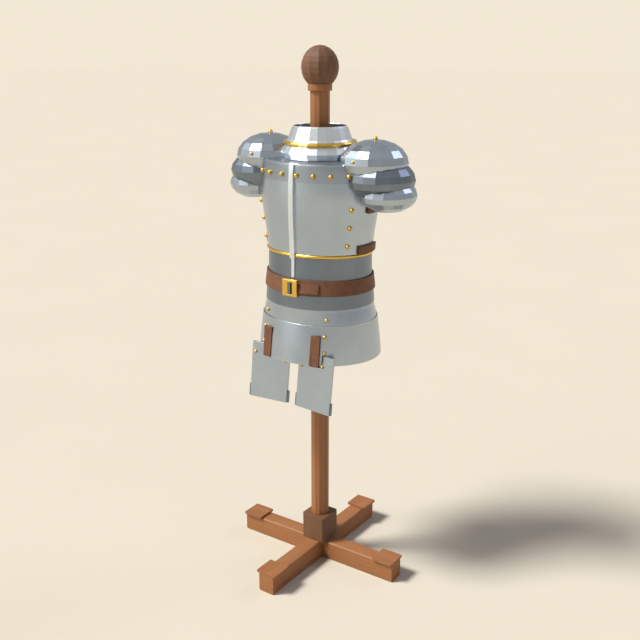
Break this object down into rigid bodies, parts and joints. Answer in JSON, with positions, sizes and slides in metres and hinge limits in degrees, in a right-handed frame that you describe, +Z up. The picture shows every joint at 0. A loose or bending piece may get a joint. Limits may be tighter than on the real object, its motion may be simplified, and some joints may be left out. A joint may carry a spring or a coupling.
{
  "type": "steel half armour on a wooden armour stand",
  "caption": "Steel half armour with gorget, three-lame pauldrons, riveted breastplate and backplate, belted waist, fauld and tassets, shown on a wooden cross-foot stand.",
  "frame": {"origin": "on the floor under the middle of the stand's post, which is the centre of the bounding box's base", "axes": "+Z up, -Y the way the armour faces, +X the wearer's left"},
  "size_m": [0.643, 0.6026, 1.663],
  "materials": {
    "light_steel": "polished plate with soft planishing",
    "band_steel": "satin plate",
    "ridge_steel": "bright polished bar",
    "dark_steel": "darkened satin plate",
    "brass": "satin brass",
    "leather": "oiled leather",
    "post_wood": "oiled wood",
    "dark_wood": "stained wood"
  },
  "bodies": {
    "root": {"stand_beam_side": "post_wood", "stand_beam_front": "post_wood", "foot_cap_left": "post_wood", "foot_cap_back": "post_wood", "foot_cap_right": "post_wood", "foot_cap_front": "post_wood", "base_block": "dark_wood", "post": "post_wood", "post_collar": "post_wood", "ball_finial": "dark_wood", "shoulder_bar": "post_wood", "rivet_side_left_upper": "brass", "rivet_side_right_upper": "brass", "rivet_side_left_middle": "brass", "rivet_side_right_middle": "brass", "rivet_side_left_lower": "brass", "rivet_side_right_lower": "brass", "breastplate": "light_steel", "backplate": "light_steel", "breast_band": "band_steel", "medial_ridge": "ridge_steel", "waist_plate": "dark_steel", "waist_trim": "brass", "belt": "leather", "belt_tongue": "leather", "buckle_frame": "brass", "buckle_prong": "dark_steel", "rivet_fauld_left_upper": "brass", "rivet_fauld_right_upper": "brass", "rivet_fauld_left_middle": "brass", "rivet_fauld_right_middle": "brass", "rivet_fauld_left_lower": "brass", "rivet_fauld_right_lower": "brass", "fauld_lame": "light_steel", "skirt_lame": "light_steel", "side_strap_left_upper": "leather", "side_strap_right_upper": "leather", "side_strap_left_lower": "leather", "side_strap_right_lower": "leather", "tasset_left": "light_steel", "tasset_bar_left": "dark_steel", "tasset_strap_left": "leather", "tasset_right": "light_steel", "tasset_bar_right": "dark_steel", "tasset_strap_right": "leather", "gorget_lower": "light_steel", "gorget_upper": "light_steel", "gorget_ring": "brass", "pauldron_left_dome": "light_steel", "pauldron_right_dome": "light_steel", "pauldron_left_middle": "dark_steel", "pauldron_right_middle": "dark_steel", "pauldron_left_lower": "light_steel", "pauldron_right_lower": "light_steel", "rivet_pauldron_left_top": "brass", "rivet_pauldron_right_top": "brass", "rivet_pauldron_left_front": "brass", "rivet_pauldron_right_front": "brass"}
  },
  "joints": []
}
